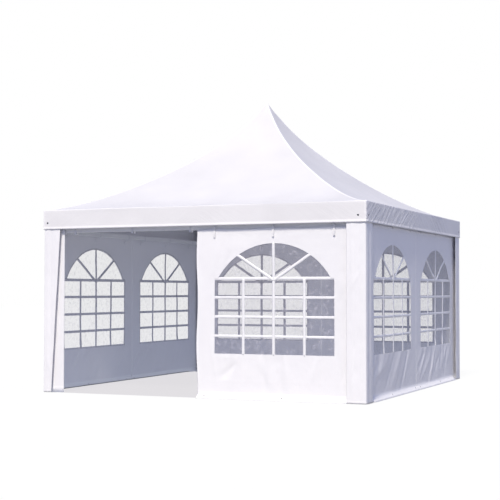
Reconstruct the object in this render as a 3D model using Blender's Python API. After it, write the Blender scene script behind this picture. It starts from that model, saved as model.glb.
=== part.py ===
"""Square pagoda marquee tent, 4 m by 4 m: a fabric roof on a steel frame, with hung wall panels."""

from math import acos, cos, hypot, radians, sin, sqrt

import bmesh
import bpy
from mathutils import Matrix, Vector

# Driving dimensions in metres. The front faces -Y, and the origin is on the ground at the plan's centre.
PLAN_HALF = 2.0  # axis to the valance's outer face
EAVE_Z = 2.132  # top of the fabric along the eaves
PEAK_Z = 3.581
VALANCE_DROP = 0.225
FABRIC = 0.005  # thickness of every sheet of fabric
GAP = 0.0003  # between pieces that touch

# The slopes start flat at the eaves and steepen to the peak.
# A share is the plan's size at some height over the full plan's.
EAVE_POWER = 1.44
PEAK_POWER = 7.4
PEAK_PART = 0.165
TIP_SHARE = 0.006  # rounding of the tip
PEAK_SHARE = 0.05  # foot of the separate piece at the peak
ROOF_DIP = 0.03  # how far a slope sags midway between its hips
SLOPE_COLUMNS = 6
SLOPE_ROWS = 18

WALL_OUTER = 1.955  # axis to a wall's outer face
WALL_TOP = 1.885
FLAP_Z = 0.055  # where a wall's foot starts to flare
FLAP_OUTER = 1.989
FLOOR_CLEAR = 0.003
SEAM = 0.001  # between the two panels of a wall
RETURN_EDGE = 1.735  # the left wall is turned round the front post up to here
RETURN_FOOT = 0.05
SEWN = 0.001  # how deep pieces that are sewn together meet

WINDOW_CENTRE = 0.92
WINDOW_HALF = 0.7035
WINDOW_SILL = 0.495
WINDOW_SPRING = 1.32
ARCH_HALF = 0.665
ARCH_TOP = 1.702
ARCH_STEPS = 14
FILM = 0.002
FILM_LAP = 0.02

BEAM = 0.05  # square tube of the eaves, and of the rails that the walls hang from
RAIL_FOOT = 1.868
STRAP = 0.003
STRAP_WIDTH = 0.014
TIE_SPACING = 0.704
TIE_END_Z = 1.774  # lower end outside the wall
TIE_INNER_Z = 1.8
TIE_TURN_Z = 1.825  # where a tie meets the wall's inner face
TIE_BEND = 0.01  # below the rail's foot and its top
TIE_RISE = 0.004  # above the wall's top

CONNECTOR = 0.125
CONNECTOR_CHAMFER = 0.03
POST = 0.06
FOOT = 0.1
FOOT_THICK = 0.008

COVER_WIDTH = 0.22
COVER_TAPERED = 0.107  # foot of the front left cover

RAFTER = 0.035
RAFTER_SLOPE = 0.15
HUB_HALF = 0.06
HUB_HEIGHT = 0.07
MAST_RADIUS = 0.024
MAST_SIDES = 16

# Worked out from the dimensions above.
WALL_INNER = WALL_OUTER - FABRIC
COVER_OUTER = PLAN_HALF - FABRIC - GAP
ROOF_SEAT = EAVE_Z - FABRIC - GAP
BEAM_OUTER = COVER_OUTER
BEAM_FOOT = ROOF_SEAT - BEAM
POST_CENTRE = WALL_INNER - GAP - FOOT / 2
POST_INNER = POST_CENTRE - POST / 2
RAIL_OUTER = POST_CENTRE + POST / 2
RAIL_INNER = RAIL_OUTER - BEAM
RAIL_TOP = RAIL_FOOT + BEAM
CONNECTOR_INNER = BEAM_OUTER - CONNECTOR
PEAK_RINGS = (0.034, 0.021, MAST_RADIUS / PLAN_HALF, 0.006, 0.002)  # shares up to the tip
ARCH_RISE = ARCH_TOP - WINDOW_SPRING
ARCH_RADIUS = (ARCH_HALF**2 + ARCH_RISE**2) / (2 * ARCH_RISE)
ARCH_CENTRE_Z = ARCH_TOP - ARCH_RADIUS
RAFTER_END = (2 * CONNECTOR_INNER + CONNECTOR_CHAMFER) / sqrt(2) - GAP
RAFTER_START = HUB_HALF + GAP
RAFTER_FOOT_Z = BEAM_FOOT + BEAM / 2
HUB_Z = RAFTER_FOOT_Z + RAFTER_SLOPE * (RAFTER_END - RAFTER_START)

# A side or a corner is modelled at the front, or at the front right, and turned by these degrees.
SIDES = {"front": 0, "right": 90, "back": 180, "left": 270}
CORNERS = {"front_right": 0, "back_right": 90, "back_left": 180, "front_left": 270}

# The front's left half is the open doorway.
# A hand says on which side of its seam a panel hangs, seen from outside.
PANELS = {
    "front_right": ("front", 1),
    "right_front": ("right", -1),
    "right_back": ("right", 1),
    "back_right": ("back", -1),
    "back_left": ("back", 1),
    "left_back": ("left", -1),
    "left_front": ("left", 1),
}


def clear_scene():
    for old in list(bpy.data.objects):
        bpy.data.objects.remove(old)


def make_material(name, colour, roughness, metallic=0.0, alpha=1.0):
    made = bpy.data.materials.new(name)
    made.use_nodes = True
    shader = made.node_tree.nodes["Principled BSDF"]
    shader.inputs["Base Color"].default_value = (*colour, 1.0)
    shader.inputs["Roughness"].default_value = roughness
    shader.inputs["Metallic"].default_value = metallic
    shader.inputs["Alpha"].default_value = alpha
    made.diffuse_color = (*colour, alpha)
    return made


def make_node(name, bm, look, degrees=0.0):
    """Turns a finished mesh about the tent's axis and makes it the named object."""
    bmesh.ops.recalc_face_normals(bm, faces=bm.faces)
    mesh = bpy.data.meshes.new(name)
    bm.to_mesh(mesh)
    bm.free()
    mesh.materials.append(look)
    made = bpy.data.objects.new(name, mesh)
    made.rotation_euler.z = radians(degrees)
    bpy.context.scene.collection.objects.link(made)
    return made


def add_box(bm, low, high):
    low, high = Vector(low), Vector(high)
    place = Matrix.Translation((low + high) / 2) @ Matrix.Diagonal((*(high - low), 1))
    return bmesh.ops.create_cube(bm, size=1, matrix=place)["verts"]


def sweep(bm, faces, along):
    """Extrudes an open sheet or an outline's face into a closed solid."""
    swept = bmesh.ops.extrude_face_region(bm, geom=faces)["geom"]
    moved = [part for part in swept if isinstance(part, bmesh.types.BMVert)]
    bmesh.ops.translate(bm, verts=moved, vec=along)


def add_prism(bm, outline, along):
    sweep(bm, [bm.faces.new([bm.verts.new(point) for point in outline])], along)


def rise_of(share):
    up = 1 - hypot(share, TIP_SHARE * (1 - share))
    return (1 - PEAK_PART) * up**EAVE_POWER + PEAK_PART * up**PEAK_POWER


def roof_height(share):
    return EAVE_Z + (PEAK_Z - EAVE_Z) * rise_of(share) / rise_of(0)


def roof_slope(name, degrees, look):
    bm = bmesh.new()
    bmesh.ops.create_grid(bm, x_segments=SLOPE_COLUMNS, y_segments=SLOPE_ROWS, size=1)
    for vert in bm.verts:
        across, climbed = vert.co.x, (vert.co.y + 1) / 2
        share = 1 - (1 - PEAK_SHARE) * climbed
        side = share * PLAN_HALF
        dip = ROOF_DIP * 4 * climbed * (1 - climbed) * (1 - across**2)
        vert.co = (across * (side - GAP), -side, roof_height(share) - dip)
    sweep(bm, bm.faces[:], (0, 0, -FABRIC))
    return make_node(name, bm, look, degrees)


def roof_peak(look):
    """The sewn peak, a square sleeve that narrows to the rounded tip over the mast."""
    foot = PEAK_SHARE - GAP
    bm = bmesh.new()
    ring = bmesh.ops.create_circle(bm, segments=4, radius=foot * PLAN_HALF * sqrt(2))["verts"]
    bmesh.ops.rotate(bm, verts=ring, matrix=Matrix.Rotation(radians(45), 3, "Z"))
    bmesh.ops.translate(bm, verts=ring, vec=(0, 0, roof_height(foot)))
    edges = bm.edges[:]
    below = foot
    for share in PEAK_RINGS:
        swept = bmesh.ops.extrude_edge_only(bm, edges=edges)["geom"]
        edges = [part for part in swept if isinstance(part, bmesh.types.BMEdge)]
        ring = [part for part in swept if isinstance(part, bmesh.types.BMVert)]
        bmesh.ops.scale(bm, verts=ring, vec=(share / below, share / below, 1))
        bmesh.ops.translate(bm, verts=ring, vec=(0, 0, roof_height(share) - roof_height(below)))
        below = share
    bmesh.ops.contextual_create(bm, geom=edges)
    sweep(bm, bm.faces[:], (0, 0, -FABRIC))
    return make_node("roof_peak", bm, look)


def valance(look):
    """The strip of cloth that hangs round all four eaves, as one band."""
    bm = bmesh.new()
    square = bmesh.ops.create_grid(bm, x_segments=1, y_segments=1, size=PLAN_HALF)["verts"]
    bmesh.ops.translate(bm, verts=square, vec=(0, 0, EAVE_Z - VALANCE_DROP))
    middle = bm.faces[:]
    inset = {"thickness": FABRIC, "use_boundary": True, "use_even_offset": True}
    bmesh.ops.inset_region(bm, faces=middle, **inset)
    bmesh.ops.delete(bm, geom=middle, context="FACES_ONLY")
    sweep(bm, bm.faces[:], (0, 0, ROOF_SEAT - EAVE_Z + VALANCE_DROP))
    return make_node("valance", bm, look)


def window_outline(centre, depth, grow):
    """A rectangle with a shallow arch standing on it, wider all round by grow."""
    spring = WINDOW_SPRING + grow
    radius = ARCH_RADIUS + grow
    half = WINDOW_HALF + grow
    widest = acos((spring - ARCH_CENTRE_Z) / radius)
    points = [(-half, WINDOW_SILL - grow), (half, WINDOW_SILL - grow), (half, spring)]
    for step in range(ARCH_STEPS + 1):
        angle = widest * (1 - 2 * step / ARCH_STEPS)
        points.append((radius * sin(angle), ARCH_CENTRE_Z + radius * cos(angle)))
    points.append((-half, spring))
    return [(centre + x, depth, z) for x, z in points]


def make_helper(name, bm, degrees):
    """A mesh that a panel's modifiers use, which is no piece of the tent."""
    helper = make_node(name, bm, bpy.data.materials["wall_fabric"], degrees)
    helper.hide_render = True
    helper.display_type = "WIRE"
    return helper


def window_cutter(name, centre, degrees):
    bm = bmesh.new()
    add_prism(bm, window_outline(centre, -WALL_OUTER - FABRIC, 0), (0, 3 * FABRIC, 0))
    return make_helper(name, bm, degrees)


def tie_path(from_wall, from_rail):
    """A tie's course up outside the wall, over the rail and down inside the wall."""
    return [
        (-WALL_OUTER - from_wall, TIE_END_Z),
        (-WALL_OUTER - from_wall, WALL_TOP + TIE_RISE),
        (-RAIL_OUTER - from_rail, RAIL_TOP - TIE_BEND),
        (-RAIL_OUTER - from_rail, RAIL_TOP + from_rail),
        (from_rail - RAIL_INNER, RAIL_TOP + from_rail),
        (from_rail - RAIL_INNER, RAIL_FOOT - TIE_BEND),
        (from_wall - WALL_INNER, TIE_TURN_Z),
        (from_wall - WALL_INNER, TIE_INNER_Z),
    ]


def sewn_pieces(name, hand, degrees):
    """The straps that hang a panel, and the strip that the left wall turns round its post."""
    outline = tie_path(STRAP, GAP + STRAP) + tie_path(-SEWN, GAP)[::-1]
    bm = bmesh.new()
    for place in (-TIE_SPACING, 0, TIE_SPACING):
        low = hand * WINDOW_CENTRE + place - STRAP_WIDTH / 2
        add_prism(bm, [(low, y, z) for y, z in outline], (STRAP_WIDTH, 0, 0))
    if name == "left_front_panel":
        low = (WALL_INNER, SEWN - WALL_OUTER, RETURN_FOOT)
        add_box(bm, low, (WALL_OUTER - GAP, -RETURN_EDGE, WALL_TOP - SEWN))
    return make_helper(name + "_sewn", bm, degrees)


def wall_panel(name, side, hand, look):
    """One panel of a wall, on the left of its seam for hand -1 and on the right for hand 1."""
    degrees = SIDES[side]
    corner = WALL_INNER - GAP if degrees % 180 == 0 else WALL_OUTER
    low, high = sorted((hand * SEAM / 2, hand * corner))
    profile = (
        (low, -WALL_OUTER, WALL_TOP),
        (low, -WALL_OUTER, FLAP_Z),
        (low, -FLAP_OUTER, FLOOR_CLEAR),
        (low, FABRIC - FLAP_OUTER, FLOOR_CLEAR),
        (low, -WALL_INNER, FLAP_Z),
        (low, -WALL_INNER, WALL_TOP),
    )
    bm = bmesh.new()
    add_prism(bm, profile, (high - low, 0, 0))
    panel = make_node(name, bm, look, degrees)
    sewn = panel.modifiers.new("sewn", "BOOLEAN")
    sewn.operation = "UNION"
    sewn.object = sewn_pieces(name, hand, degrees)
    window = panel.modifiers.new("window", "BOOLEAN")
    window.operation = "DIFFERENCE"
    window.object = window_cutter(name + "_cutter", hand * WINDOW_CENTRE, degrees)


def window_film(name, side, hand, look):
    """The clear film welded behind a panel's window."""
    bm = bmesh.new()
    outline = window_outline(hand * WINDOW_CENTRE, GAP - WALL_INNER, FILM_LAP)
    add_prism(bm, outline, (0, FILM, 0))
    make_node(name, bm, look, SIDES[side])


def level_bar(name, degrees, half, outer, foot, look):
    """A length of square tube along one side of the tent."""
    bm = bmesh.new()
    add_box(bm, (-half, -outer, foot), (half, BEAM - outer, foot + BEAM))
    return make_node(name, bm, look, degrees)


def corner_connector(name, degrees, look):
    """A cast block with its inner corner cut off square to the rafter."""
    bm = bmesh.new()
    add_box(bm, (CONNECTOR_INNER, -BEAM_OUTER, BEAM_FOOT), (BEAM_OUTER, -CONNECTOR_INNER, ROOF_SEAT))
    inner = [v for v in bm.verts if v.co.x < POST_CENTRE and v.co.y > -POST_CENTRE]
    edge = bm.edges.get(inner)
    bmesh.ops.bevel(bm, geom=[edge], offset=CONNECTOR_CHAMFER, segments=1, affect="EDGES")
    return make_node(name, bm, look, degrees)


def corner_post(name, degrees, look):
    """A square post rising out of its welded foot plate."""
    bm = bmesh.new()
    half = FOOT / 2
    add_box(bm, (-half, -half, 0), (half, half, FOOT_THICK))
    top = max(bm.faces, key=lambda face: face.calc_center_median().z)
    bmesh.ops.inset_region(bm, faces=[top], thickness=(FOOT - POST) / 2, use_even_offset=True)
    swept = bmesh.ops.extrude_discrete_faces(bm, faces=[top])["faces"]
    bmesh.ops.translate(bm, verts=swept[0].verts, vec=(0, 0, BEAM_FOOT - GAP - FOOT_THICK))
    bmesh.ops.translate(bm, verts=bm.verts, vec=(POST_CENTRE, -POST_CENTRE, 0))
    return make_node(name, bm, look, degrees)


def post_cover(name, degrees, foot_width, look):
    """An L-shaped sleeve of fabric outside the post, whose second leg may taper to its foot."""
    outer, inner = COVER_OUTER, COVER_OUTER - FABRIC
    edge = outer - COVER_WIDTH
    outside = [(edge, -outer), (outer, -outer), (outer, -edge)]
    inside = [(inner, -edge), (inner, -inner), (edge, -inner)]
    bm = bmesh.new()
    height = BEAM_FOOT - GAP - FLOOR_CLEAR
    add_prism(bm, [(x, y, FLOOR_CLEAR) for x, y in outside + inside], (0, 0, height))
    for vert in bm.verts:
        if vert.co.y > -POST_CENTRE and vert.co.z < FLAP_Z:
            vert.co.y = foot_width - outer
    return make_node(name, bm, look, degrees)


def rafter(name, degrees, look):
    """A bar along a hip's diagonal, sheared up to the hub so that both its ends stay upright."""
    half = RAFTER / 2
    bm = bmesh.new()
    add_box(bm, (RAFTER_START, -half, HUB_Z - half), (RAFTER_END, half, HUB_Z + half))
    for vert in bm.verts:
        vert.co.z -= RAFTER_SLOPE * (vert.co.x - RAFTER_START)
    return make_node(name, bm, look, degrees - 45)


def king_mast(look):
    """The round tube that pushes up the peak, welded to the block that the rafters meet at."""
    top = roof_height(MAST_RADIUS / PLAN_HALF) - FABRIC - GAP
    bm = bmesh.new()
    bmesh.ops.create_cone(
        bm,
        cap_ends=True,
        segments=MAST_SIDES,
        radius1=MAST_RADIUS,
        radius2=MAST_RADIUS,
        depth=top - HUB_Z,
        matrix=Matrix.Translation((0, 0, (HUB_Z + top) / 2)),
    )
    mast = make_node("king_mast", bm, look)
    bm = bmesh.new()
    reach = Vector((HUB_HALF, HUB_HALF, HUB_HEIGHT / 2))
    centre = Vector((0, 0, HUB_Z))
    add_box(bm, centre - reach, centre + reach)
    hub = mast.modifiers.new("hub", "BOOLEAN")
    hub.operation = "UNION"
    hub.object = make_helper("hub_block", bm, 45)
    mast.data.shade_smooth()
    mast.data.set_sharp_from_angle(angle=radians(30))
    return mast


def build():
    clear_scene()
    roof = make_material("roof_fabric", (0.92, 0.91, 0.95), 0.5)
    wall = make_material("wall_fabric", (0.9, 0.9, 0.94), 0.5)
    film = make_material("clear_film", (0.8, 0.82, 0.86), 0.15, alpha=0.35)
    steel = make_material("coated_steel", (0.8, 0.8, 0.81), 0.4)

    for side, degrees in SIDES.items():
        roof_slope(side + "_roof_slope", degrees, roof)
        level_bar(side + "_eave_beam", degrees, CONNECTOR_INNER - GAP, BEAM_OUTER, BEAM_FOOT, steel)
        level_bar(side + "_wall_rail", degrees, POST_INNER - GAP, RAIL_OUTER, RAIL_FOOT, steel)
    roof_peak(roof)
    valance(roof)

    for place, (side, hand) in PANELS.items():
        wall_panel(place + "_panel", side, hand, wall)
        window_film(place + "_film", side, hand, film)

    for corner, degrees in CORNERS.items():
        corner_post(corner + "_post", degrees, steel)
        corner_connector(corner + "_connector", degrees, steel)
        rafter(corner + "_rafter", degrees, steel)
        foot_width = COVER_TAPERED if corner == "front_left" else COVER_WIDTH
        post_cover(corner + "_post_cover", degrees, foot_width, wall)
    king_mast(steel)


build()
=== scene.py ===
# %% [markdown]
# # A square pagoda marquee
# The tent has a steel frame, a roof cover sewn with its valance, wall panels that hang from rails on straps,
# and clear windows barred like a house's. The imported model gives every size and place. The frame's own solids
# stay and only get a finish, and every sheet of cloth is modelled again, thin and creased.

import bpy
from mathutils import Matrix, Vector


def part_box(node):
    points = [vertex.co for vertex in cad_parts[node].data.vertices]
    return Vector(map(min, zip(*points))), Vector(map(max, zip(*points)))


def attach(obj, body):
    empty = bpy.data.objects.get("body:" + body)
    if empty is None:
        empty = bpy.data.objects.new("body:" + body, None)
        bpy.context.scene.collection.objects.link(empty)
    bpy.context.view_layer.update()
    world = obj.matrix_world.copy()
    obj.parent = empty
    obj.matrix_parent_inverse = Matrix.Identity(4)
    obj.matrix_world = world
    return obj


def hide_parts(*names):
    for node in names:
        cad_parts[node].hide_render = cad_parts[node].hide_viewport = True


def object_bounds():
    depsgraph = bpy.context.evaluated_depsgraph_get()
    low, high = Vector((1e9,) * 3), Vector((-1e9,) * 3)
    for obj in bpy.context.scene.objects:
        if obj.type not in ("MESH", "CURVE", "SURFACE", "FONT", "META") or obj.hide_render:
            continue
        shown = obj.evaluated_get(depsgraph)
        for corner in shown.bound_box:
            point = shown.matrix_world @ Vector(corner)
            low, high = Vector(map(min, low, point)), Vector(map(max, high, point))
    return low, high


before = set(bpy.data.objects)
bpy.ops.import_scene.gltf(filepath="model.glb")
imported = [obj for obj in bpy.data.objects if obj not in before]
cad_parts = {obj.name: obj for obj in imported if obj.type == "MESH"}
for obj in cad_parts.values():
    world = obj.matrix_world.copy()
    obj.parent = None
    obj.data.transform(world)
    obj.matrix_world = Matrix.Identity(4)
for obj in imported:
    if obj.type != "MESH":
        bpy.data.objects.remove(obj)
cad_low, cad_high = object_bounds()
print("solids:", len(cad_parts), "box:", tuple(cad_low), tuple(cad_high))

# %% Modules
import random
from math import acos, atan2, cos, hypot, pi, radians, sin

import bmesh
import bpy
import numpy as np
from mathutils import Matrix, Vector, noise

# %% [markdown]
# ## Sizes
# The tent's main sizes are read from the frame's boxes, so that cloth and steel meet. The few that a box
# can't give, such as where a window's arch springs, repeat the sizes of the solids.

# %% Sizes from the frame
SOLID_CLOTH = 0.005  # thickness of a cloth solid
CLOTH = 0.0014  # thickness of the cloth here
HALF = cad_high.x
EAVE_Z = 2.132
PEAK_Z = cad_high.z
VALANCE_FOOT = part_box("valance")[0].z
DROP = EAVE_Z - VALANCE_FOOT  # height of the valance
WALL_OUTER = 1.955
WALL_PLANE = WALL_OUTER - SOLID_CLOTH / 2
WALL_TOP = 1.885
FLAP_Z = 0.055  # where a wall's foot starts to flare
RAIL_LOW, RAIL_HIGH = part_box("front_wall_rail")
COVER_LOW, COVER_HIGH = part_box("front_right_post_cover")
SIDES = {"front": 0, "right": 90, "back": 180, "left": 270}
CORNERS = {"front_right": 0, "back_right": 90, "back_left": 180, "front_left": 270}
PANELS = {
    "front_right": ("front", 1),
    "right_front": ("right", -1),
    "right_back": ("right", 1),
    "back_right": ("back", -1),
    "back_left": ("back", 1),
    "left_back": ("left", -1),
    "left_front": ("left", 1),
}
print("peak at", round(PEAK_Z, 3), "valance foot at", round(VALANCE_FOOT, 3), "rail from", tuple(RAIL_LOW))

# %% [markdown]
# ## Camera
# A long lens from the right of the doorway, at chest height. It sees the front nearly square on and the right
# side steeply foreshortened. Its picture is shifted a little, which keeps the front's level lines flatter.

# %% Camera
CAMERA_TILT, CAMERA_TURN = 0.0357, 0.3968


def add_object(name, data):
    made = bpy.data.objects.new(name, data)
    bpy.context.scene.collection.objects.link(made)
    return made


camera = add_object("camera", bpy.data.cameras.new("camera"))
camera.data.sensor_width = 36
camera.data.lens = 84.03
camera.data.shift_x = -0.06
camera.location = (5.876, -13.588, 1.177)
camera.rotation_euler = (pi / 2 + CAMERA_TILT, 0, CAMERA_TURN)
bpy.context.scene.camera = camera
print("camera at", tuple(round(place, 2) for place in camera.location), "with a lens of", camera.data.lens)

# %% [markdown]
# ## Shader expressions
# A material is easier to read as arithmetic than as a web of nodes. This class wraps a node's output, so that
# `1 - mask * 0.5` adds the Math nodes it needs, and one method adds any other node.

# %% A wire that Python's operators carry on from
class Wire:
    def __init__(self, tree, socket=None):
        self.tree = tree
        self.socket = socket

    def add(self, kind, settings=None, sockets=None, out=0):
        """Adds a node: first its settings, then the values or links of its sockets."""
        made = self.tree.nodes.new(kind)
        for name, value in (settings or {}).items():
            setattr(made, name, value)
        for name, value in (sockets or {}).items():
            if isinstance(value, Wire):
                self.tree.links.new(value.socket, made.inputs[name])
            else:
                made.inputs[name].default_value = value
        return Wire(self.tree, made.outputs[out]) if made.outputs else None

    def maths(self, operation, first, second):
        return self.add("ShaderNodeMath", {"operation": operation}, {0: first, 1: second})

    def __add__(self, other):
        return self.maths("ADD", self, other)

    def __radd__(self, other):
        return self.maths("ADD", other, self)

    def __sub__(self, other):
        return self.maths("SUBTRACT", self, other)

    def __rsub__(self, other):
        return self.maths("SUBTRACT", other, self)

    def __mul__(self, other):
        return self.maths("MULTIPLY", self, other)

    def __rmul__(self, other):
        return self.maths("MULTIPLY", other, self)

    def __lt__(self, other):
        return self.maths("LESS_THAN", self, other)

    def __gt__(self, other):
        return self.maths("GREATER_THAN", self, other)

    def __mod__(self, other):
        return self.maths("MODULO", self, other)

    def __abs__(self):
        return self.maths("ABSOLUTE", self, 0.0)

    def spread(self, low, high):
        """This number stretched so that low becomes 0 and high becomes 1."""
        return self.add("ShaderNodeMapRange", None, {"Value": self, "From Min": low, "From Max": high})

    def blend(self, low, high):
        """A colour between two others, by this number."""
        return self.add("ShaderNodeMix", {"data_type": "RGBA"}, {0: self, 6: (*low, 1), 7: (*high, 1)}, out=2)

    def parts(self):
        """The three numbers of a vector."""
        made = self.add("ShaderNodeSeparateXYZ", None, {0: self}).socket.node
        return [Wire(self.tree, socket) for socket in made.outputs]


# %% A material around one Principled shader
UV, OBJECT = 2, 3  # outputs of a Texture Coordinate node
WAVE_PERIOD = 0.314  # of a Wave node whose scale is 1


def new_material(name, roughness, metallic=0.0, alpha=1.0):
    """A material, the Object coordinates that its patterns read, and its shader."""
    material = bpy.data.materials.new(name)
    material.use_nodes = True
    tree = material.node_tree
    shader = tree.nodes["Principled BSDF"]
    shader.inputs["Roughness"].default_value = roughness
    shader.inputs["Metallic"].default_value = metallic
    shader.inputs["Alpha"].default_value = alpha
    return material, Wire(tree).add("ShaderNodeTexCoord", out=OBJECT), shader


def plug(shader, name, wire):
    wire.tree.links.new(wire.socket, shader.inputs[name])


def raise_bumps(shader, height, distance, strength=1.0):
    sockets = {"Height": height, "Distance": distance, "Strength": strength}
    plug(shader, "Normal", height.add("ShaderNodeBump", None, sockets))


def noise_at(place, scale, detail=4.0, rough=0.5):
    sockets = {"Vector": place, "Scale": scale, "Detail": detail, "Roughness": rough}
    return place.add("ShaderNodeTexNoise", None, sockets)


def bands_at(place, direction, pitch):
    """Sine bands across one direction, a pitch apart."""
    sockets = {"Vector": place, "Scale": WAVE_PERIOD / pitch}
    return place.add("ShaderNodeTexWave", {"bands_direction": direction}, sockets, out=1)


# %% [markdown]
# ## Coated cloth
# The cloth is a polyester scrim coated with white plastic. It has a satin shine, a fine square weave under
# the coating, faint clouds of tone, and small crumples. Every cloth piece has a UV map that holds its flat
# size in metres, so the weave, the hems and their stitches keep the scale and direction of the cut cloth.
# `hems` lists where a doubled strip runs: from which coordinate and distance, and how wide it is. The cover
# has one more above the eaves, where the valance is welded on. The valance also keeps fine slanting creases
# from the time it lay rolled up, as noise that is stretched along one direction. They are deepest on the
# right side.

# %% Coated cloth
WEAVE_PITCH = 0.0022
STITCH_PITCH, STITCH_SHARE = 0.006, 0.7
THREAD_HALF = 0.0008
CREASE_SLANT = radians(34)
CREASE_STRETCH = (2.5, 24.0, 1.0)
CREASED, CREASED_MORE = 0.25, 2.9  # strength of the creases, and what the right side has on top
RIGHT_VALANCE = HALF - 0.006  # the cloth beyond this is the right valance


def stitch_line(across, along, place):
    """Dashes of thread along one line of the flat cloth."""
    near = abs(across - place) < THREAD_HALF
    dash = (along % STITCH_PITCH) < STITCH_PITCH * STITCH_SHARE
    return near * dash


def coated_cloth(name, light, shade, roughness, hems=(), cloudy=0.7, valance_below=None):
    material, place, shader = new_material(name, roughness)
    flat = place.add("ShaderNodeTexCoord", out=UV)
    clouds = noise_at(place, 1.7, 3.0)
    grain = noise_at(flat, 160.0, 2.0)
    crumple = noise_at(place, 7.0, 5.0, 0.55)
    weave = bands_at(flat, "X", WEAVE_PITCH) + bands_at(flat, "Y", WEAVE_PITCH)
    tone = (clouds - 0.5) * cloudy + grain * 0.2 + 0.35
    height = crumple + weave * 0.015
    sides = dict(zip("uv", flat.parts()))
    for axis, edge, width in hems:
        other = sides["v" if axis == "u" else "u"]
        doubled = abs(sides[axis] - (edge + width / 2)) < abs(width) / 2
        thread = stitch_line(sides[axis], other, edge + width * 0.85)
        tone = tone + doubled * 0.5 - thread * 0.4
        height = height + doubled * 0.12 - thread * 0.1
    if valance_below is not None:
        below = sides["v"] < valance_below
        turned = flat.add("ShaderNodeMapping", None, {"Vector": flat, "Rotation": (0, 0, -CREASE_SLANT)})
        drawn = flat.add("ShaderNodeMapping", None, {"Vector": turned, "Scale": CREASE_STRETCH})
        creases = noise_at(drawn, 1.0, 3.0, 0.6).spread(0.42, 0.62)
        where = noise_at(place, 0.9, 1.0).spread(0.38, 0.56)
        on_right = place.parts()[0] > RIGHT_VALANCE
        height = height + creases * where * below * (CREASED + on_right * CREASED_MORE)
        # The valance is painted lighter than the slopes, whose darker tone is painted shade against the sun on
        # them.
        tone = tone + below * 0.38
    plug(shader, "Base Color", tone.blend(shade, light))
    plug(shader, "Roughness", roughness - 0.08 + clouds * 0.16)
    raise_bumps(shader, height, 0.004, 0.5)
    return material


WALL_HEMS = (("v", WALL_TOP, -0.03), ("u", 0.0, 0.028), ("v", FLAP_Z, 0.022))
ROOF_HEMS = (("v", 0.0, 0.022), ("v", DROP, 0.04), ("u", 0.0, 0.024))
SLEEVE_HEMS = (("v", 0.0, 0.03),)
# The roof's tones are darker than the walls': painted shade that offsets the strong sun on the slopes.
ROOF_TONES = (0.885, 0.877, 0.897), (0.545, 0.54, 0.553)
WALL_TONES = (0.96, 0.955, 0.975), (0.86, 0.855, 0.885)
roof_cloth = coated_cloth("roof_cloth", *ROOF_TONES, 0.5, ROOF_HEMS, 0.35, DROP)
wall_cloth = coated_cloth("wall_cloth", *WALL_TONES, 0.46, WALL_HEMS)
sleeve_cloth = coated_cloth("sleeve_cloth", *WALL_TONES, 0.46, SLEEVE_HEMS)
bar_cloth = coated_cloth("bar_tape", (0.93, 0.93, 0.95), (0.89, 0.89, 0.92), 0.4)
print("cloths:", roof_cloth.name, wall_cloth.name, sleeve_cloth.name, bar_cloth.name)

# %% [markdown]
# ## Clear film, steel, webbing
# The windows are clear plastic film. It is never quite flat, so its shine breaks into streaks, and where it
# is crumpled it turns a little hazy. That haze is a change of alpha and a whiter colour, and it also stands in
# for the wrinkles' bright glints as a painted highlight, since the alpha weakens the real shine. The streaks
# are bump. The frame is steel tube with a white powder coat: satin, with the fine orange peel of baked powder,
# a little dust in soft patches, and grey scuffs where the tubes have rubbed together in their bag.

# %% Clear film
def clear_film():
    material, place, shader = new_material("clear_film", 0.12, alpha=0.2)
    ripples = noise_at(place, 16.0, 5.0, 0.62)
    # Hazy patches: partly the real haze of crumpled film, partly a painted highlight of its wrinkles.
    haze_and_painted_glint = noise_at(place, 26.0, 5.0, 0.7).spread(0.5, 0.7)
    plug(shader, "Base Color", haze_and_painted_glint.blend((0.52, 0.5, 0.57), (0.92, 0.89, 0.97)))
    plug(shader, "Alpha", haze_and_painted_glint * 0.11 + 0.12)
    raise_bumps(shader, ripples, 0.02, 0.7)
    return material


# %% Powder-coated steel
def powder_coat():
    material, place, shader = new_material("powder_coat", 0.38)
    peel = noise_at(place, 380.0, 2.0)
    dust = noise_at(place, 4.0, 4.0)
    scuffs = noise_at(place, 55.0, 6.0, 0.75).spread(0.6, 0.72)
    plug(shader, "Base Color", (dust * 0.6 + scuffs).blend((0.94, 0.94, 0.94), (0.8, 0.8, 0.82)))
    plug(shader, "Roughness", 0.3 + dust * 0.12 + scuffs * 0.25)
    raise_bumps(shader, peel - scuffs * 0.4, 0.0005, 0.5)
    return material


# %% Webbing, eyelets and their holes
def small_finish(name, dark, light, roughness, metallic, scale, bump):
    material, place, shader = new_material(name, roughness, metallic)
    wear = noise_at(place, scale, 3.0)
    plug(shader, "Base Color", wear.blend(dark, light))
    plug(shader, "Roughness", roughness - 0.1 + wear * 0.2)
    raise_bumps(shader, wear, bump, 0.5)
    return material


WEBBING_TONES = (0.74, 0.74, 0.77), (0.9, 0.9, 0.92)
METAL_TONES = (0.35, 0.35, 0.37), (0.6, 0.6, 0.62)
# The eyelets' dark plugs are painted shade of the holes.
HOLE_SHADE_TONES = (0.012, 0.012, 0.014), (0.04, 0.04, 0.045)
film = clear_film()
steel = powder_coat()
webbing = small_finish("white_webbing", *WEBBING_TONES, 0.75, 0.0, 300.0, 0.0006)
eyelet_metal = small_finish("eyelet_metal", *METAL_TONES, 0.32, 1.0, 120.0, 0.0002)
painted_hole_shade = small_finish("painted_hole_shade", *HOLE_SHADE_TONES, 0.45, 0.0, 90.0, 0.0003)
print("finishes:", film.name, steel.name, webbing.name, eyelet_metal.name, painted_hole_shade.name)

# %% [markdown]
# ## Helpers for sheets
# Every sheet starts flat, gets a UV map of its flat size, and is then pushed out of its plane by its folds. A
# finished piece is turned to its side of the tent with its place kept in its mesh.

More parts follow.
